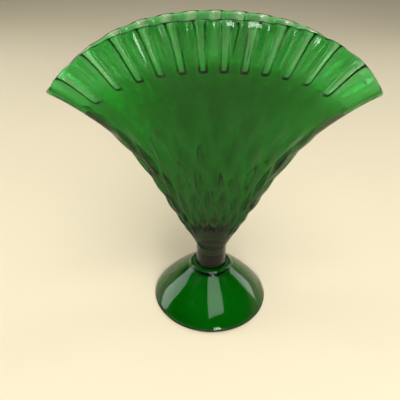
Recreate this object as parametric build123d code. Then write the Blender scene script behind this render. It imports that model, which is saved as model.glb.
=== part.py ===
from build123d import *
from functools import cache
from math import asin, cos, log, pi, sin, sqrt
import os

os.makedirs("parts", exist_ok=True)

# A fan vase in green pressed glass, in millimetres. Z is up, the floor is at zero, and the fan
# spreads along X. The front looks towards minus Y. The vase is made of three gathers of glass
# that meet face to face: the bowl, the stem and the foot.

# Foot, a hollow dome that stands on a ground ring
foot_radius = 42.0
foot_height = 31.0
foot_wall = 4.5
foot_crown_wall = 5.0
foot_edge_round = 2.0
foot_bulge = 1.2
ground_ring_width = 2.4
collar_radius = 15.6
collar_depth = 2.6

# Stem, a short solid wafer
stem_radius = 11.0
stem_height = 17.0
stem_waist = 0.4

# Bowl, a round bell squeezed flat into a fan
bowl_height = 149.0
half_width = 96.5
half_depth = 20.0
tip_drop = 41.3
bend_half_width = 40.0
bend_rise = 52.0
belly_bulge = 1.8
rim_wall = 3.6
base_wall = 6.2
thinning_start_share = 0.78
thinning_end_share = 0.87
cavity_floor = 12.0
floor_share = 0.75
arch_roundness_share = 0.55

# Strips and panels under the rim. The narrow strips are sunk into the inside of the wall, where the
# press's plunger made them. Between each two, the outside swells into a wide crowned panel, and the
# inside is scooped out behind it.
strips_a_side = 6
strip_spacing_share = 0.142
strip_spread_share = 0.0003
pattern_turn_share = 0.055
strip_start_share = 0.83
strip_width = 2.4
strip_recess = 2.2
strip_flank = 2.6
strip_end_length = 2.0
panel_crown = 0.9
crown_start_share = 0.74
panel_scoop = 1.1
scoop_end_share = 0.89
rim_scallop = 0.4

# Long diamonds pressed into the outside of the lower wall, in crossing rows. A row is the height over
# which the fan grows by a set share.
diamond_columns = 20
diamond_rows = 2.1
diamond_depth = 2.0
diamond_fade_in = (0.05, 0.14)
diamond_fade_out = (0.60, 0.78)

# How finely the glass is followed
low_levels = 24
low_crowding = 1.5
high_levels = 6
strip_levels = 4
inner_levels = 8
lip_steps = 6
panel_steps = 4
probe_share = 0.001

stem_top = foot_height + stem_height
rim_top = stem_top + bowl_height

# The bowl's side outline runs from the stem to a tip of the fan, and its middle outline up the
# face. Both give a distance from the axis and a height, and end half a wall under the rim.
shoulder = rim_top - rim_wall / 2
seat_point = (stem_radius, stem_top)
bend_point = (bend_half_width, stem_top + bend_rise)
tip_point = (half_width, shoulder - tip_drop)
belly_point = ((stem_radius + half_depth) / 2 + belly_bulge, (stem_top + shoulder) / 2)
side_line = Line(seat_point, bend_point)
side_flare = TangentArc(bend_point, tip_point, tangent=side_line % 1)
side_outline = Wire([side_line, side_flare])
middle_outline = Wire([ThreePointArc(seat_point, belly_point, (half_depth, shoulder))])


def smooth_step(start, end, value):
    """Rises smoothly from 0 at start to 1 at end."""
    share = min(max((value - start) / (end - start), 0), 1)
    return share * share * (3 - 2 * share)


@cache
def strip_turns():
    """The angle of each strip round the bowl, from the middle of the front."""
    steps = [index + 0.5 for index in range(-strips_a_side, strips_a_side)]
    shares = [strip_spacing_share * s + strip_spread_share * s**3 - pattern_turn_share for s in steps]
    front = [asin(share) for share in shares] + [pi / 2]
    return front + [turn + pi for turn in front]


@cache
def outline_places(climb):
    """Place and inward direction on both outlines, at a share of the way up them."""
    places = []
    for outline in (side_outline, middle_outline):
        along = outline.tangent_at(climb)
        places.append((outline.position_at(climb), Vector(-along.Y, along.X)))
    return places


def wall_point(turn, climb, inset):
    """A point of the bowl's wall: round it by turn, up it by climb, and into it by inset."""
    side, middle = [place + inward * inset for place, inward in outline_places(climb)]
    reach = sin(turn) ** 2
    fall = arch_roundness_share * reach + (1 - arch_roundness_share) * reach**2
    height = middle.Y + (side.Y - middle.Y) * fall
    return Vector(side.X * sin(turn), -middle.X * cos(turn), height)


def panel_places(start, end):
    """Angles over one panel, from a strip's middle to the next, with the strip's depth share
    and the panel's crown share at each."""
    width = (wall_point(end, 1, 0) - wall_point(start, 1, 0)).length
    floor_edge = strip_width / 2 / width
    panel_edge = floor_edge + strip_flank / width
    places = [(0, 1, 0), (floor_edge, 1, 0), ((floor_edge + panel_edge) / 2, 0.5, 0)]
    for step in range(panel_steps + 1):
        share = step / panel_steps
        places.append((panel_edge + (1 - 2 * panel_edge) * share, 0, 4 * share * (1 - share)))
    places += [(1 - share, sunk, crowned) for share, sunk, crowned in places[2::-1]]
    return [(start + (end - start) * share, sunk, crowned) for share, sunk, crowned in places]


@cache
def panels():
    """The places over every panel, all the way round the bowl."""
    turns = strip_turns()
    following = turns[1:] + [turns[0] + 2 * pi]
    return [panel_places(*ends) for ends in zip(turns, following)]


def diamond_relief(climb, turn):
    """How far a diamond stands out of the wall, or a groove between them lies in it."""
    fade = smooth_step(*diamond_fade_in, climb) * (1 - smooth_step(*diamond_fade_out, climb))
    place = diamond_columns * turn / (2 * pi)
    row = diamond_rows * log(outline_places(climb)[0][0].X / stem_radius)
    near, far = sorted((abs(sin(pi * (place + row))), abs(sin(pi * (place - row)))))
    return diamond_depth * fade * (near * sqrt(far) - 0.5)


def outer_point(climb, turn, sunk, crowned):
    """A point of the outside, with the diamonds low down and the swelling panels above."""
    crown = panel_crown * smooth_step(crown_start_share, strip_start_share, climb)
    return wall_point(turn, climb, -crown * crowned - diamond_relief(climb, turn))


def inner_point(climb, recess, turn, sunk, crowned):
    """A point of the inside, with the strips sunk by recess and the panels scooped out. The wall
    thins towards the rim."""
    thinning = smooth_step(thinning_start_share, thinning_end_share, climb)
    wall = base_wall + (rim_wall - base_wall) * thinning
    scoop = panel_scoop * smooth_step(strip_start_share, scoop_end_share, climb)
    return wall_point(turn, climb, wall - recess * sunk - scoop * crowned)


def lip_point(bend, turn, sunk, crowned):
    """A point of the rounded rim, bend round it from the outer shoulder to the inner one."""
    outer = outer_point(1, turn, sunk, crowned)
    inner = inner_point(1, strip_recess, turn, sunk, crowned)
    up = (wall_point(turn, 1, 0) - wall_point(turn, 1 - probe_share, 0)).normalized()
    rise = up * (rim_wall / 2 - rim_scallop * crowned)
    return (outer + inner) / 2 + (outer - inner) / 2 * cos(bend) + rise * sin(bend)


def floor_point(climb, turn, sunk, crowned):
    """A point round the flat floor of the cavity, drawn in from the foot of its wall."""
    low = inner_point(climb, 0, turn, sunk, crowned)
    return Vector(low.X * floor_share, low.Y * floor_share, stem_top + cavity_floor)


def ring(point, *settings):
    """A closed wire round the bowl, with one curve for each panel. The turns are its parameters, so that
    all rings run alike and their lofts stay light."""
    curves = []
    for places in panels():
        points = [point(*settings, *place) for place in places]
        curves.append(Edge.make_spline(points, parameters=[place[0] for place in places]))
    return Wire(curves)


def stepped(start, end, steps):
    return [start + (end - start) * step / steps for step in range(steps + 1)]


def make_bowl():
    """The wall is lofted up the outside, over the rim, down the inside and across the floor."""
    low_share = cavity_floor / bowl_height * 2
    sunk_share = strip_start_share + strip_end_length / bowl_height
    low_climbs = [crown_start_share * share**low_crowding for share in stepped(0, 1, low_levels)]
    climbs = low_climbs + stepped(crown_start_share, 1, high_levels)[1:]
    outside = [ring(outer_point, climb) for climb in climbs]
    sunk = [ring(inner_point, climb, strip_recess) for climb in stepped(1, sunk_share, strip_levels)]
    inside = [ring(inner_point, climb, 0) for climb in stepped(strip_start_share, low_share, inner_levels)]
    rounded = [ring(lip_point, bend) for bend in stepped(0, pi, lip_steps)[1:-1]]
    lip = [outside[-1], *rounded, sunk[0]]
    floor = ring(floor_point, low_share)
    shells = [Shell.make_loft(wires) for wires in (outside, lip, sunk, inside)]
    shells += [Shell.make_loft(ends, ruled=True) for ends in ([sunk[-1], inside[0]], [inside[-1], floor])]
    faces = [face for shell in shells for face in shell.faces()]
    return Solid(Shell([*faces, Face(outside[0]), Face(floor)]))


def revolved(*edges):
    """A solid of revolution about Z from the edges of its half section."""
    return revolve(Plane.XZ * make_face(Wire.combine(edges)[0]), Axis.Z)


def make_stem():
    low = (stem_radius, foot_height)
    high = (stem_radius, stem_top)
    waist = (stem_radius - stem_waist, foot_height + stem_height / 2)
    side = ThreePointArc(low, waist, high)
    return revolved(side, Polyline(high, (0, stem_top), (0, foot_height), low))


def make_foot():
    seat = Vector(stem_radius, foot_height)
    collar = Vector(collar_radius, foot_height - collar_depth)
    edge = Vector(foot_radius, foot_edge_round)
    edge_middle = Vector(foot_radius - foot_edge_round, foot_edge_round)
    ground_outer = Vector(edge_middle.X, 0)
    ground_inner = Vector(ground_outer.X - ground_ring_width, 0)
    slope = (edge - collar).normalized()
    outwards = Vector(-slope.Y, slope.X)
    crest = (collar + edge) / 2 + outwards * foot_bulge
    hollow_top = collar - outwards * foot_wall
    crown = Vector(0, foot_height - foot_crown_wall)
    crown_arc = ThreePointArc(hollow_top, crown, (-hollow_top.X, hollow_top.Y))
    return revolved(
        Line(crown, (0, foot_height)),
        Line((0, foot_height), seat),
        EllipticalCenterArc((seat.X, collar.Y), collar.X - seat.X, collar_depth),
        ThreePointArc(collar, crest, edge),
        CenterArc(edge_middle, foot_edge_round, -90, 90),
        Line(ground_outer, ground_inner),
        ThreePointArc(ground_inner, crest - outwards * foot_wall, hollow_top),
        crown_arc.trim(0, 0.5),
    )


export_step(make_bowl(), "parts/bowl.step")
export_step(make_stem(), "parts/stem.step")
export_step(make_foot(), "parts/foot.step")
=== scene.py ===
"""A fan vase in green pressed glass on a plain pale floor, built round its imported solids."""

from collections import namedtuple
from functools import cache
from math import asin, atan2, cos, hypot, log, pi, radians, sin, sqrt, tau
from types import SimpleNamespace

import bmesh
import bpy
from bpy.props import FloatProperty, FloatVectorProperty, IntProperty, PointerProperty, StringProperty
from bpy.types import Operator, Panel, PropertyGroup
from mathutils import Matrix, Vector


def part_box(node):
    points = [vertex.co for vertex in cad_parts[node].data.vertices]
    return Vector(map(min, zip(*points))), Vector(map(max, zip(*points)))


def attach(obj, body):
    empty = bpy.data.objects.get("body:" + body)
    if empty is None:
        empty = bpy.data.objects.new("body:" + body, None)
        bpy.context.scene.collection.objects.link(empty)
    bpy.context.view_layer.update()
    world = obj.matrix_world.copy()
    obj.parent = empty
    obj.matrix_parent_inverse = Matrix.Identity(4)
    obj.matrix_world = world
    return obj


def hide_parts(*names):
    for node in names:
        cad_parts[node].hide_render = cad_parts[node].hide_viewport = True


bl_info = {
    "name": "Fan Vase",
    "version": (1, 0, 0),
    "blender": (4, 5, 0),
    "location": "3D View > Sidebar > Fan Vase",
    "description": "Builds a footed fan vase in green pressed glass, with its studio",
    "category": "Add Mesh",
}

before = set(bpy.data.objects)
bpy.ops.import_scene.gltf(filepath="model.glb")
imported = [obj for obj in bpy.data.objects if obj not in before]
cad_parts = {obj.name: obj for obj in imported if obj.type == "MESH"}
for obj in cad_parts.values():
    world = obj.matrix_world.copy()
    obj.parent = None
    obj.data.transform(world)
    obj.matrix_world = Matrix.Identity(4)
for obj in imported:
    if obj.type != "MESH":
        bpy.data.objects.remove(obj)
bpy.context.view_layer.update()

MM = 0.001
BODY = "root"


def length(name, description, millimetres):
    """A length that a user can change, given in millimetres."""
    default = millimetres * MM
    return FloatProperty(name=name, description=description, default=default, unit="LENGTH", precision=5)


def share(name, description, default):
    """A plain share of something else."""
    return FloatProperty(name=name, description=description, default=default, precision=4)


def angle(name, description, degrees):
    """An angle that a user can change, given in degrees."""
    return FloatProperty(name=name, description=description, default=radians(degrees), unit="ROTATION")


def triple(name, description, default):
    """Three values, one for each of red, green and blue."""
    return FloatVectorProperty(name=name, description=description, default=default, size=3)


def count(name, description, default):
    """A whole number of repeats."""
    return IntProperty(name=name, description=description, default=default, min=1)


def colour(name, description, default):
    """An sRGB colour as six hex digits."""
    return StringProperty(name=name, description=description, default=default)


class BowlSizes(PropertyGroup):
    """The bowl is a round bell that was squeezed flat into a fan."""
    half_width: length("Half width", "From the axis to a tip of the fan", 96.5)
    half_depth: length("Half depth", "From the axis to the rim at the middle of the front", 20)
    rim_height: length("Rim height", "Height of the rim at the middle of the front, above the floor", 197)
    tip_drop: length("Tip drop", "How far a tip lies below the middle of the rim", 41.3)
    bend_half_width: length("Bend half width", "Half width where the sides start to flare", 40)
    bend_rise: length("Bend rise", "Height of that place above the stem", 52)
    belly_bulge: length("Belly bulge", "How far the face bulges half way up", 1.8)
    rim_wall: length("Rim wall", "Thickness of the glass at the rim", 3.6)
    base_wall: length("Base wall", "Thickness of the glass low down", 6.2)
    cavity_floor: length("Cavity floor", "Solid glass between the stem and the inside", 12)
    cap_rise: length("Cap rise", "Height of the rounded bottom of the inside", 12)
    thinning_start: share("Thinning start", "Share of the way up where the wall starts to thin", 0.78)
    thinning_end: share("Thinning end", "Share of the way up where the wall is as thin as the rim", 0.87)
    arch_roundness: share("Arch roundness", "How round the rim's arch is, against how pointed", 0.55)


class StripSizes(PropertyGroup):
    """Narrow strips sunk into the inside under the rim, and wide crowned panels between them."""
    a_side: count("Strips a side", "Strips on each half of one face", 6)
    spacing: share("Spacing", "Step from strip to strip at the middle, as a share of the half width", 0.142)
    spread: share("Spread", "How the steps widen towards the tips", 0.0003)
    turn: share("Turn", "How far the pattern is turned from the middle of the face", 0.055)
    start: share("Start", "Share of the way up the wall where the strips start", 0.83)
    width: length("Width", "Flat width of a strip at the rim", 2.4)
    recess: length("Recess", "How deep a strip is sunk into the wall", 2.2)
    flank: length("Flank", "Width of the slope on each side of a strip", 2.6)
    end_length: length("End length", "Length of the slope at a strip's lower end", 2)
    end_corner: length("End corner", "Radius of the two corners of that end", 1.6)
    flare: length("Flare", "How much wider the slopes are at the rim, where a panel's corners are round", 1.6)
    flare_height: length("Flare height", "How far below the rim they start to widen", 6)
    panel_crown: length("Panel crown", "How far a panel swells at its middle", 0.9)
    panel_scoop: length("Panel scoop", "How far the inside is scooped out behind that", 1.1)
    scoop_end: share("Scoop end", "Share of the way up where the scoop has its full depth", 0.89)
    crown_start: share("Crown start", "Share of the way up where the panels start to swell", 0.74)
    rim_scallop: length("Rim scallop", "How far the rim dips between the strips", 0.4)


class DiamondSizes(PropertyGroup):
    """Long diamond cells pressed into the lower wall."""
    columns: count("Columns", "Cells round the bowl", 20)
    depth: length("Depth", "Depth of the grooves between the cells", 2)
    rows: share("Rows", "Cells in the height over which the fan grows e times wider", 2.1)
    fade_in_start: share("Fade in start", "Share of the way up where the cells start", 0.05)
    fade_in_end: share("Fade in end", "Share of the way up where they have their full depth", 0.14)
    fade_out_start: share("Fade out start", "Share of the way up where they start to fade", 0.6)
    fade_out_end: share("Fade out end", "Share of the way up where they are gone", 0.78)


class FootSizes(PropertyGroup):
    """A hollow dome with a rounded collar, on a flat ground ring."""
    wall: length("Wall", "Thickness of the dome", 4.5)
    crown_wall: length("Crown wall", "Thickness under the stem", 5)
    edge_round: length("Edge round", "Radius of the rounded edge", 2)
    bulge: length("Bulge", "How far the dome swells from a straight cone", 1.2)
    ring_width: length("Ring width", "Width of the ground ring", 2.4)
    collar_radius: length("Collar radius", "Radius of the collar round the stem", 15.6)
    collar_depth: length("Collar depth", "Height of the collar", 2.6)


class StemSizes(PropertyGroup):
    """A short solid wafer."""
    waist: length("Waist", "How far the stem is drawn in at its middle", 0.4)
    weld: length("Weld", "How far each end runs into its neighbour, so that the glass is one", 0.15)


class MeshSizes(PropertyGroup):
    """How finely the glass is followed."""
    wall_rows: count("Wall rows", "Rows up the outside, from the stem to where the panels swell", 94)
    panel_rows: count("Panel rows", "Rows from there up to the rim", 12)
    lip_rows: count("Lip rows", "Rows over the rounded rim", 8)
    strip_rows: count("Strip rows", "Rows down the inside, from the rim to the strips' lower ends", 10)
    end_rows: count("End rows", "Rows over those ends", 12)
    inside_rows: count("Inside rows", "Rows from there down to the rounded bottom", 12)
    cap_rows: count("Cap rows", "Rows over the bottom of the inside", 7)
    end_span: share("End span", "Share of the wall over which the strips' ends reach", 0.035)
    sectors: count("Sectors", "Repeats round the stem and the foot", 16)
    sector_steps: count("Sector steps", "Steps in each of them", 16)
    reach: length("Reach", "How near points of the stem or the foot lie when they are merged", 0.001)
    arc_steps: count("Arc steps", "Steps along one arc of their outlines", 16)


class GlassLook(PropertyGroup):
    """Green soda-lime glass, pressed in an iron mould and fire polished."""
    absorbed: triple("Absorbed", "Light lost in a metre of glass, for red, green and blue", (660, 172, 540))
    ior: share("IOR", "Index of refraction of soda-lime glass", 1.52)
    polish: share("Polish", "Roughness of the fire-polished surface", 0.0)
    ripple: length("Ripple", "Depth of the slow ripples that the mould leaves", 0.04)
    ripple_size: length("Ripple size", "Width of one ripple", 9)
    ripple_detail: share("Ripple detail", "How many finer ripples ride on the slow ones", 5)
    ripple_fineness: share("Ripple fineness", "Height of each finer ripple against the one below", 0.5)
    ripple_stretch: share("Ripple stretch", "How much longer than wide the ripples are", 4)
    surface_tint: share("Surface tint", "Share of the mirroring kept where glass is seen square on", 0.45)


class StudioSizes(PropertyGroup):
    """The floor, the lamps and the camera."""
    floor_radius: length("Floor radius", "Radius of the round floor", 3500)
    floor_segments: count("Floor segments", "Straight parts of its edge", 128)
    floor_colour: colour("Floor colour", "Matt paper", "EBDFC0")
    cloud_scale: share("Cloud scale", "Clouds in each metre of the paper", 3)
    cloud_detail: share("Cloud detail", "How many finer clouds ride on the slow ones", 2)
    cloud_shade: share("Cloud shade", "Brightness of the darkest cloud", 0.97)
    paper_roughness: share("Paper roughness", "Roughness of the matt paper", 0.9)
    paper_sheen: share("Paper sheen", "How much the paper mirrors", 0.2)
    wall_colour: colour("Wall colour", "The pale wall all round", "EBDFC0")
    wall_top: angle("Wall top", "Height above the horizon where the wall starts to darken", 5)
    ceiling_colour: colour("Ceiling colour", "The dim room overhead", "1C1C1B")
    ceiling_edge: angle("Ceiling edge", "Height above the horizon where the room is dim", 20)
    camera_distance: length("Camera distance", "From the axis to the camera, level", 230.79)
    camera_height: length("Camera height", "Above the floor", 222.59)
    camera_pitch: angle("Camera pitch", "How far the camera looks down", 31.32)
    camera_roll: angle("Camera roll", "How far it leans", 1.20)
    camera_yaw: angle("Camera yaw", "How far it looks to the right", -2.22)
    vase_turn: angle("Vase turn", "How far the vase is turned under the camera", 5.11)
    lens: share("Lens", "Focal length in millimetres on a sensor as wide", 36)
    nearest: length("Nearest", "How near the camera sees", 10)


SETTINGS = {
    "bowl": BowlSizes, "strips": StripSizes, "diamonds": DiamondSizes, "foot": FootSizes, "stem": StemSizes,
    "meshing": MeshSizes, "glass": GlassLook, "studio": StudioSizes,
}


@cache
def settings(name):
    """The chosen sizes of one group as plain values, read once."""
    group = getattr(bpy.context.scene, "fan_vase_" + name)
    return SimpleNamespace(**{key: getattr(group, key) for key in group.__annotations__})


def read_again():
    """Forgets everything that was worked out from the sizes, because a user may have changed them."""
    for remembered in (settings, seat_place, outlines, outline_places, strip_turns, columns):
        remembered.cache_clear()


def smooth_step(start, end, value):
    """Rises smoothly from 0 at start to 1 at end."""
    rise = min(max((value - start) / (end - start), 0), 1)
    return rise * rise * (3 - 2 * rise)


# Outlines

class Arc:
    """A circular arc in a plane, through three points."""

    def __init__(self, start, middle, end):
        first, second = middle - start, end - start
        cross = 2 * (first.x * second.y - first.y * second.x)
        a, b = first.length_squared, second.length_squared
        offset = Vector((second.y * a - first.y * b, first.x * b - second.x * a)) / cross
        self.centre = start + offset
        self.start = start
        spoke, last = -offset, end - self.centre
        self.angle = atan2(spoke.x * last.y - spoke.y * last.x, spoke.dot(last))
        self.length = abs(self.angle) * offset.length

    def at(self, along):
        """The point at a share of the way along, and the direction there."""
        spoke = self.start - self.centre
        spoke.rotate(Matrix.Rotation(self.angle * along, 2))
        ahead = Vector((-spoke.y, spoke.x)).normalized()
        return self.centre + spoke, ahead if self.angle > 0 else -ahead


def tangent_middle(start, direction, end):
    """The middle point of the arc that leaves start in a direction and arrives at end."""
    chord = end - start
    lean = direction.angle_signed(chord)
    return start + chord / 2 + Vector((-chord.y, chord.x)) / 2 * (1 - cos(lean)) / sin(lean)


@cache
def seat_place():
    """Radius and height of the joint between the stem and the bowl."""
    _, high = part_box("stem")
    return Vector((high.x, high.z))


@cache
def outlines():
    """The side outline as a straight run and an arc, and the middle outline as one arc."""
    sizes = settings("bowl")
    seat = seat_place()
    shoulder = sizes.rim_height - sizes.rim_wall / 2
    bend = Vector((sizes.bend_half_width, seat.y + sizes.bend_rise))
    tip = Vector((sizes.half_width, shoulder - sizes.tip_drop))
    flare = Arc(bend, tangent_middle(bend, bend - seat, tip), tip)
    belly = Vector(((seat.x + sizes.half_depth) / 2 + sizes.belly_bulge, (seat.y + shoulder) / 2))
    return seat, bend, flare, Arc(seat, belly, Vector((sizes.half_depth, shoulder)))


@cache
def outline_places(climb):
    """Place and inward direction on the side outline and on the middle one, at a share of the way up."""
    seat, bend, flare, face = outlines()
    run = (bend - seat).length
    along = climb * (run + flare.length)
    if along <= run:
        side = seat.lerp(bend, along / run), (bend - seat).normalized()
    else:
        side = flare.at((along - run) / flare.length)
    return [(place, Vector((-ahead.y, ahead.x))) for place, ahead in (side, face.at(climb))]


def wall_point(turn, climb, inset):
    """A point of the bowl's wall: round it by turn, up it by climb, and into it by inset."""
    side, middle = [place + inward * inset for place, inward in outline_places(climb)]
    reach = sin(turn) ** 2
    roundness = settings("bowl").arch_roundness
    fall = roundness * reach + (1 - roundness) * reach**2
    return Vector((side.x * sin(turn), -middle.x * cos(turn), middle.y + (side.y - middle.y) * fall))


# Strips, panels and diamonds

# The small step down the wall that gives its direction at the rim
PROBE = 0.001

# Where the columns of vertices stand, as shares of half a strip's floor, of its flank and of half a panel
FLOOR_SHARES = (0, 0.5)
FLANK_SHARES = (0, 0.2, 0.4, 0.6, 0.8)
PANEL_SHARES = (0, 0.15, 0.32, 0.52, 0.75)


@cache
def strip_turns():
    """The angle of each strip round the bowl, from the middle of the front."""
    sizes = settings("strips")
    steps = [index + 0.5 for index in range(-sizes.a_side, sizes.a_side)]
    front = [asin(sizes.spacing * step + sizes.spread * step**3 - sizes.turn) for step in steps] + [pi / 2]
    return front + [turn + pi for turn in front]


@cache
def columns():
    """For every column of vertices: its turn, its distance from the nearest strip's middle at the rim,
    and the distance from strip to strip there."""
    turns, sizes = strip_turns(), settings("strips")
    placed = []
    for start, end in zip(turns, turns[1:] + [turns[0] + tau]):
        width = (wall_point(end, 1, 0) - wall_point(start, 1, 0)).length
        ends = (0, sizes.width / 2, sizes.width / 2 + sizes.flank, width / 2)
        runs = zip(ends, ends[1:], (FLOOR_SHARES, FLANK_SHARES, PANEL_SHARES))
        near = [(low + (high - low) * part) / width for low, high, parts in runs for part in parts]
        for place in near + [0.5] + [1 - place for place in near[:0:-1]]:
            placed.append((start + (end - start) * place, min(place, 1 - place) * width, width))
    return placed


def strip_depth(climb, distance):
    """How far the glass is sunk at a distance from a strip's middle. The strip's lower end has round
    corners, and its slopes flare out where it meets the rim."""
    sizes = settings("strips")
    rise = settings("bowl").rim_height - seat_place().y
    flared = rounding(1 - (1 - climb) * rise / sizes.flare_height) * sizes.flare
    edge = sizes.width / 2 + sizes.flank
    sunk = 1 - smooth_step(sizes.width / 2, edge + flared, distance)
    if not sunk or climb < sizes.start:
        return 0
    corner = rounding(1 + (distance - edge) / sizes.end_corner) * sizes.end_corner
    start = sizes.start + corner / rise
    return sizes.recess * sunk * smooth_step(start, start + sizes.end_length / rise, climb)


def rounding(along):
    """How far a round corner has drawn in, from 0 where it starts to 1 where it ends."""
    return 1 - sqrt(1 - min(max(along, 0), 1) ** 2)


def panel_swell(distance, width):
    """How far a panel swells at a distance from a strip's middle, as a share of its crown."""
    sizes = settings("strips")
    edge = sizes.width / 2 + sizes.flank
    across = max(distance - edge, 0) / (width - 2 * edge)
    return 4 * across * (1 - across)


def diamond_relief(climb, turn):
    """The height of the pressed diamonds: their middles stand out and their grooves are sunk."""
    sizes = settings("diamonds")
    fade = smooth_step(sizes.fade_in_start, sizes.fade_in_end, climb)
    fade *= 1 - smooth_step(sizes.fade_out_start, sizes.fade_out_end, climb)
    if not fade:
        return 0
    place = sizes.columns * turn / tau
    row = sizes.rows * log(outline_places(climb)[0][0].x / seat_place().x)
    near, far = sorted((abs(sin(pi * (place + row))), abs(sin(pi * (place - row)))))
    return sizes.depth * fade * (near * sqrt(far) - 0.5)


def outer_point(climb, column):
    turn, distance, width = column
    sizes = settings("strips")
    crown = sizes.panel_crown * smooth_step(sizes.crown_start, sizes.start, climb)
    return wall_point(turn, climb, -crown * panel_swell(distance, width) - diamond_relief(climb, turn))


def inner_point(climb, column):
    turn, distance, width = column
    sizes, strips = settings("bowl"), settings("strips")
    thinning = smooth_step(sizes.thinning_start, sizes.thinning_end, climb)
    wall = sizes.base_wall + (sizes.rim_wall - sizes.base_wall) * thinning
    scoop = strips.panel_scoop * smooth_step(strips.start, strips.scoop_end, climb)
    return wall_point(turn, climb, wall - scoop * panel_swell(distance, width) - strip_depth(climb, distance))


def lip_point(across, column):
    """A point of the rounded rim, from the outer shoulder at 0 to the inner one at 1."""
    turn, distance, width = column
    outer, inner = outer_point(1, column), inner_point(1, column)
    up = (wall_point(turn, 1, 0) - wall_point(turn, 1 - PROBE, 0)).normalized()
    dip = settings("strips").rim_scallop * panel_swell(distance, width)
    rise = up * (settings("bowl").rim_wall / 2 - dip)
    bend = pi * across
    return (outer + inner) / 2 + (outer - inner) / 2 * cos(bend) + rise * sin(bend)


def cap_point(outward, column):
    """A point of the rounded bottom of the inside, from its middle at 0 to the wall at 1."""
    sizes = settings("bowl")
    floor = seat_place().y + sizes.cavity_floor
    edge = inner_point(cap_climb(), column)
    bend = outward * pi / 2
    return Vector((edge.x * sin(bend), edge.y * sin(bend), floor + (edge.z - floor) * (1 - cos(bend))))


def cap_climb():
    """The share of the way up the wall where the rounded bottom of the inside ends."""
    sizes = settings("bowl")
    return (sizes.cavity_floor + sizes.cap_rise) / (sizes.rim_height - seat_place().y)


# Meshes

# Radii of the plain bell that the bowl is pressed from: its outside, its inside and its axis
OUTSIDE, INSIDE, AXIS = 2, 1, 0
BELL_REACH = 1e-4

# Spinning leaves tiny errors, so places on the bell are rounded to this many decimals
RADIUS_DECIMALS, CLIMB_DECIMALS = 3, 5


def chain(mesh, points, cuts):
    """Straight runs in the XZ plane from point to point, each cut into so many parts."""
    for start, end, parts in zip(points, points[1:], cuts):
        ends = [mesh.verts.new((x, 0, z)) for x, z in (start, end)]
        bmesh.ops.subdivide_edges(mesh, edges=[mesh.edges.new(ends)], cuts=parts - 1)


def spin_round(mesh, repeats, steps, reach):
    """Spins everything in the mesh through one repeat, copies that round the axis, and merges all that
    meets within reach into one closed skin."""
    turn = tau / repeats
    bmesh.ops.spin(
        mesh, geom=mesh.verts[:] + mesh.edges[:], cent=(0, 0, 0), axis=(0, 0, 1), angle=turn, steps=steps,
    )
    bmesh.ops.spin(
        mesh, geom=mesh.verts[:] + mesh.edges[:] + mesh.faces[:], cent=(0, 0, 0), axis=(0, 0, 1),
        angle=tau - turn, steps=repeats - 1, use_duplicate=True,
    )
    bmesh.ops.remove_doubles(mesh, verts=mesh.verts, dist=reach)


def close_piece(mesh, name):
    """Turns the faces outwards and makes the mesh a smooth piece of the vase that stands for its solid."""
    bmesh.ops.recalc_face_normals(mesh, faces=mesh.faces)
    for face in mesh.faces:
        face.smooth = True
    data = bpy.data.meshes.new(name)
    mesh.to_mesh(data)
    mesh.free()
    piece = bpy.data.objects.new(name, data)
    bpy.context.scene.collection.objects.link(piece)
    return piece


def make_bowl():
    """A plain bell is spun and then pressed into the fan, vertex by vertex."""
    rows, strips = settings("meshing"), settings("strips")
    low = cap_climb()
    end_top = strips.start + rows.end_span
    bell = bmesh.new()
    chain(
        bell,
        [(AXIS, 0), (OUTSIDE, 0), (OUTSIDE, strips.crown_start), (OUTSIDE, 1), (INSIDE, 1), (INSIDE, end_top),
         (INSIDE, strips.start), (INSIDE, low), (AXIS, low)],
        [2, rows.wall_rows, rows.panel_rows, rows.lip_rows, rows.strip_rows, rows.end_rows, rows.inside_rows,
         rows.cap_rows],
    )
    placed = columns()
    panels = len(strip_turns())
    spin_round(bell, panels, len(placed) // panels, BELL_REACH)
    for vertex in bell.verts:
        radius, climb = hypot(vertex.co.x, vertex.co.y), vertex.co.z
        column = placed[round(atan2(vertex.co.y, vertex.co.x) / tau * len(placed)) % len(placed)]
        vertex.co = pressed_point(round(radius, RADIUS_DECIMALS), round(climb, CLIMB_DECIMALS), column)
    return close_piece(bell, "glass_bowl")


def pressed_point(radius, climb, column):
    """Where a point of the plain bell lies on the bowl."""
    if climb == 1:
        return lip_point(OUTSIDE - radius, column)
    if climb == 0:
        point = outer_point(0, column)
        return Vector((point.x * radius / OUTSIDE, point.y * radius / OUTSIDE, point.z))
    if radius == OUTSIDE:
        return outer_point(climb, column)
    if radius == INSIDE:
        return inner_point(climb, column)
    return cap_point(radius, column)


class Outline:
    """A half section drawn in the XZ plane of a mesh, from vertex to vertex."""

    def __init__(self, mesh, start):
        self.mesh = mesh
        self.last = mesh.verts.new((start.x, 0, start.y))

    def line_to(self, end):
        vertex = self.mesh.verts.new((end.x, 0, end.y))
        self.mesh.edges.new((self.last, vertex))
        self.last = vertex

    def arc_to(self, middle, end):
        arc = Arc(Vector((self.last.co.x, self.last.co.z)), middle, end)
        swept = bmesh.ops.spin(
            self.mesh, geom=[self.last], cent=(arc.centre.x, 0, arc.centre.y), axis=(0, -1, 0),
            angle=arc.angle, steps=settings("meshing").arc_steps,
        )
        self.last = swept["geom_last"][0]


def turn_piece(mesh):
    """Turns the outline in a mesh as a glassmaker turns a piece on the iron."""
    rows = settings("meshing")
    spin_round(mesh, rows.sectors, rows.sector_steps, rows.reach)


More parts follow.
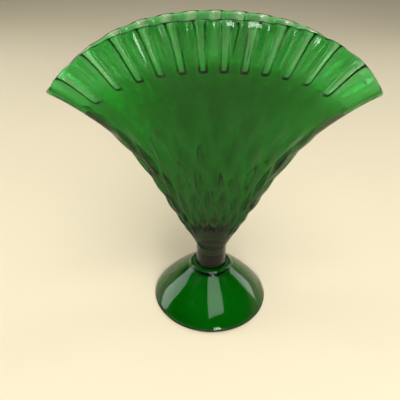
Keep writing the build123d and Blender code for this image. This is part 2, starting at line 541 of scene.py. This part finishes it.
def make_stem():
    """The stem runs a little into the bowl and the foot, so that no air shows between them."""
    sizes = settings("stem")
    low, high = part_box("stem")
    radius, bottom, top = high.x, low.z - sizes.weld, high.z + sizes.weld
    stem = bmesh.new()
    outline = Outline(stem, Vector((0, bottom)))
    outline.line_to(Vector((radius, bottom)))
    outline.line_to(Vector((radius, low.z)))
    outline.arc_to(Vector((radius - sizes.waist, (low.z + high.z) / 2)), Vector((radius, high.z)))
    outline.line_to(Vector((radius, top)))
    outline.line_to(Vector((0, top)))
    turn_piece(stem)
    return close_piece(stem, "glass_stem")


# Share of the arc over the foot's hollow that lies half way from its crown to its edge
HALF_DOWN = 0.75


def make_foot():
    """The dome, its collar, its rounded edge and the ring that it stands on."""
    sizes = settings("foot")
    _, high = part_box("foot")
    seat = Vector((seat_place().x, high.z))
    collar = Vector((sizes.collar_radius, high.z - sizes.collar_depth))
    edge = Vector((high.x, sizes.edge_round))
    edge_middle = Vector((high.x - sizes.edge_round, sizes.edge_round))
    ground_outer = Vector((edge_middle.x, 0))
    ground_inner = Vector((ground_outer.x - sizes.ring_width, 0))
    slope = (edge - collar).normalized()
    outwards = Vector((-slope.y, slope.x))
    crest = (collar + edge) / 2 + outwards * sizes.bulge
    hollow_top = collar - outwards * sizes.wall
    crown = Vector((0, high.z - sizes.crown_wall))
    over_hollow = Arc(Vector((-hollow_top.x, hollow_top.y)), crown, hollow_top)
    corner = Vector((sin(pi / 4), cos(pi / 4)))
    foot = bmesh.new()
    outline = Outline(foot, crown)
    outline.arc_to(over_hollow.at(HALF_DOWN)[0], hollow_top)
    outline.arc_to(crest - outwards * sizes.wall, ground_inner)
    outline.line_to(ground_outer)
    outline.arc_to(edge_middle + Vector((corner.x, -corner.y)) * sizes.edge_round, edge)
    outline.arc_to(crest, collar)
    outline.arc_to(collar_middle(seat, collar), seat)
    outline.line_to(Vector((0, high.z)))
    turn_piece(foot)
    return close_piece(foot, "glass_foot")


def collar_middle(seat, collar):
    """The middle of the collar's rounding, near a quarter of an ellipse."""
    return Vector((seat.x + (collar.x - seat.x) * sin(pi / 4), collar.y + (seat.y - collar.y) * cos(pi / 4)))


# Materials

# The absorbing volume takes a colour below one in each channel, so its density is a little above the
# strongest absorption
ABSORPTION_MARGIN = 1.25


def linear(hex_digits):
    """A colour written as six sRGB hex digits, as linear red, green, blue and alpha."""
    channels = [int(hex_digits[place:place + 2], 16) / 255 for place in (0, 2, 4)]
    return [c / 12.92 if c <= 0.04045 else ((c + 0.055) / 1.055) ** 2.4 for c in channels] + [1]


def add_node(tree, kind, values={}, links={}, **attributes):
    """Adds a node with its attributes, input values and links."""
    node = tree.nodes.new(kind)
    for name, value in attributes.items():
        setattr(node, name, value)
    for name, value in values.items():
        node.inputs[name].default_value = value
    for name, socket in links.items():
        tree.links.new(socket, node.inputs[name])
    return node


def new_material(name):
    material = bpy.data.materials.new(name)
    material.use_nodes = True
    tree = material.node_tree
    tree.nodes.clear()
    return material, tree


def pressed_green_glass():
    """Soda-lime glass coloured green in the pot. Its colour comes from how much glass the light crosses,
    so thick and steep places go dark and the thin rim stays pale. Mould ripples bend what is seen
    through it and break up what it mirrors."""
    look = settings("glass")
    material, tree = new_material("pressed_green_glass")
    place = add_node(tree, "ShaderNodeTexCoord")
    size = 1 / look.ripple_size
    spread = add_node(tree, "ShaderNodeMapping", {"Scale": (size, size, size / look.ripple_stretch)},
                      {"Vector": place.outputs["Object"]})
    ripple = add_node(
        tree, "ShaderNodeTexNoise",
        {"Scale": 1, "Detail": look.ripple_detail, "Roughness": look.ripple_fineness},
        {"Vector": spread.outputs["Vector"]},
    )
    bump = add_node(tree, "ShaderNodeBump", {"Strength": 1, "Distance": look.ripple},
                    {"Height": ripple.outputs["Fac"]})
    glass = add_node(
        tree, "ShaderNodeBsdfPrincipled",
        {"Base Color": (1, 1, 1, 1), "Roughness": look.polish, "IOR": look.ior, "Transmission Weight": 1,
         "Specular Tint": (look.surface_tint, look.surface_tint, look.surface_tint, 1)},
        {"Normal": bump.outputs["Normal"]},
    )
    lost = max(look.absorbed) * ABSORPTION_MARGIN
    body = add_node(tree, "ShaderNodeVolumeAbsorption",
                    {"Color": [1 - value / lost for value in look.absorbed] + [1], "Density": lost})
    add_node(tree, "ShaderNodeOutputMaterial", {},
             {"Surface": glass.outputs["BSDF"], "Volume": body.outputs["Volume"]})
    return material


def matt_paper():
    """Seamless studio paper: matt, warm and pale, with a very faint cloudiness."""
    sizes = settings("studio")
    material, tree = new_material("matt_paper")
    place = add_node(tree, "ShaderNodeTexCoord")
    cloud = add_node(tree, "ShaderNodeTexNoise",
                     {"Scale": sizes.cloud_scale, "Detail": sizes.cloud_detail},
                     {"Vector": place.outputs["Object"]})
    shade = add_node(tree, "ShaderNodeMapRange", {"To Min": sizes.cloud_shade, "To Max": 1},
                     {"Value": cloud.outputs["Fac"]})
    tint = add_node(tree, "ShaderNodeVectorMath", {0: linear(sizes.floor_colour)[:3]},
                    {3: shade.outputs["Result"]}, operation="SCALE")
    paper = add_node(tree, "ShaderNodeBsdfPrincipled",
                     {"Roughness": sizes.paper_roughness, "Specular IOR Level": sizes.paper_sheen},
                     {"Base Color": tint.outputs["Vector"]})
    add_node(tree, "ShaderNodeOutputMaterial", {}, {"Surface": paper.outputs["BSDF"]})
    return material


# Studio

def make_floor():
    sizes = settings("studio")
    mesh = bmesh.new()
    bmesh.ops.create_circle(mesh, cap_ends=True, segments=sizes.floor_segments, radius=sizes.floor_radius)
    data = bpy.data.meshes.new("floor")
    mesh.to_mesh(data)
    mesh.free()
    data.materials.append(matt_paper())
    floor = bpy.data.objects.new("floor", data)
    bpy.context.scene.collection.objects.link(floor)


def make_world():
    """A pale wall all round at eye level and a dim room overhead, so that steep glass goes dark."""
    sizes = settings("studio")
    world = bpy.data.worlds.new("studio")
    world.use_nodes = True
    tree = world.node_tree
    tree.nodes.clear()
    place = add_node(tree, "ShaderNodeTexCoord")
    height = add_node(tree, "ShaderNodeSeparateXYZ", {}, {"Vector": place.outputs["Generated"]})
    band = add_node(tree, "ShaderNodeMapRange",
                    {"From Min": sin(sizes.wall_top), "From Max": sin(sizes.ceiling_edge)},
                    {"Value": height.outputs["Z"]}, interpolation_type="SMOOTHSTEP")
    blend = add_node(tree, "ShaderNodeMix",
                     {"A": linear(sizes.wall_colour), "B": linear(sizes.ceiling_colour)},
                     {"Factor": band.outputs["Result"]}, data_type="RGBA")
    light = add_node(tree, "ShaderNodeBackground", {"Strength": 1}, {"Color": blend.outputs["Result"]})
    add_node(tree, "ShaderNodeOutputWorld", {}, {"Surface": light.outputs["Background"]})
    bpy.context.scene.world = world


# Where a softbox hangs and where it points, in metres, its width and height, and its power in watts
Softbox = namedtuple("Softbox", "place aim size watts")
SOFTBOXES = {
    # lights the floor that is seen through the glass
    "overhead": Softbox((0, 1.5, 2.6), (0, 1.5, 0), (5.4, 5.4), 53),
    # the pale streak down the front of the foot
    "front": Softbox((0.14, -0.6, 1.04), (0, 0, 0), (0.7, 1.1), 11.5),
    # the small lights in the panels
    "window": Softbox((0.25, -1.2, 0.3), (0, 0, 0.15), (0.25, 0.5), 8),
    # the streaks down the two sides of the foot
    "left": Softbox((-1.3, 0.35, 0.5), (0, 0, 0.05), (0.7, 0.8), 8),
    "right": Softbox((1.25, 0.45, 0.5), (0, 0, 0.05), (0.4, 0.8), 4),
}


def add_softbox(name, softbox):
    """A rectangular softbox, aimed at a point."""
    lamp = bpy.data.lights.new(name, "AREA")
    lamp.shape = "RECTANGLE"
    lamp.size, lamp.size_y = softbox.size
    lamp.energy = softbox.watts
    box = bpy.data.objects.new(name, lamp)
    box.location = softbox.place
    ray = Vector(softbox.aim) - Vector(softbox.place)
    box.rotation_euler = ray.to_track_quat("-Z", "Y").to_euler()
    bpy.context.scene.collection.objects.link(box)


def make_camera():
    sizes = settings("studio")
    lens = bpy.data.cameras.new("camera")
    lens.lens = lens.sensor_width = sizes.lens
    lens.clip_start = sizes.nearest
    camera = bpy.data.objects.new("camera", lens)
    bpy.context.scene.collection.objects.link(camera)
    camera.matrix_world = (
        Matrix.Rotation(-sizes.vase_turn, 4, "Z")
        @ Matrix.Translation((0, -sizes.camera_distance, sizes.camera_height))
        @ Matrix.Rotation(-sizes.camera_yaw, 4, "Z")
        @ Matrix.Rotation(pi / 2 - sizes.camera_pitch, 4, "X")
        @ Matrix.Rotation(sizes.camera_roll, 4, "Z")
    )
    bpy.context.scene.camera = camera


def make_studio():
    make_floor()
    make_world()
    for name, softbox in SOFTBOXES.items():
        add_softbox(name, softbox)
    make_camera()
    bpy.context.scene.view_settings.view_transform = "Standard"


# Operators

def fit_piece(piece, node):
    """The piece takes its glass, rides on the vase and stands for its solid."""
    material = bpy.data.materials.get("pressed_green_glass") or pressed_green_glass()
    piece.data.materials.append(material)
    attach(piece, BODY)
    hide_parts(node)


class AddBowl(Operator):
    """Adds the fan-shaped bowl"""
    bl_idname = "fan_vase.add_bowl"
    bl_label = "Add bowl"

    def execute(self, context):
        read_again()
        fit_piece(make_bowl(), "bowl")
        return {"FINISHED"}


class AddStem(Operator):
    """Adds the short solid stem"""
    bl_idname = "fan_vase.add_stem"
    bl_label = "Add stem"

    def execute(self, context):
        read_again()
        fit_piece(make_stem(), "stem")
        return {"FINISHED"}


class AddFoot(Operator):
    """Adds the hollow domed foot"""
    bl_idname = "fan_vase.add_foot"
    bl_label = "Add foot"

    def execute(self, context):
        read_again()
        fit_piece(make_foot(), "foot")
        return {"FINISHED"}


class AddStudio(Operator):
    """Adds the floor, the lamps and the camera"""
    bl_idname = "fan_vase.add_studio"
    bl_label = "Add studio"

    def execute(self, context):
        read_again()
        make_studio()
        return {"FINISHED"}


OPERATORS = (AddBowl, AddStem, AddFoot, AddStudio)


class FanVasePanel(Panel):
    """Lists the pieces of the vase"""
    bl_idname = "VIEW3D_PT_fan_vase"
    bl_label = "Fan Vase"
    bl_space_type = "VIEW_3D"
    bl_region_type = "UI"
    bl_category = "Fan Vase"

    def draw(self, context):
        for operator in OPERATORS:
            self.layout.operator(operator.bl_idname)
        for name in SETTINGS:
            group = getattr(context.scene, "fan_vase_" + name)
            box = self.layout.box()
            box.label(text=name.capitalize())
            for key in group.__annotations__:
                box.prop(group, key)


CLASSES = (*SETTINGS.values(), *OPERATORS, FanVasePanel)


def register():
    for one in CLASSES:
        bpy.utils.register_class(one)
    for name, group in SETTINGS.items():
        setattr(bpy.types.Scene, "fan_vase_" + name, PointerProperty(type=group))


def unregister():
    for name in SETTINGS:
        delattr(bpy.types.Scene, "fan_vase_" + name)
    for one in reversed(CLASSES):
        bpy.utils.unregister_class(one)


def main():
    register()
    bpy.ops.fan_vase.add_bowl()
    bpy.ops.fan_vase.add_stem()
    bpy.ops.fan_vase.add_foot()
    bpy.ops.fan_vase.add_studio()


if __name__ == "__main__":
    main()
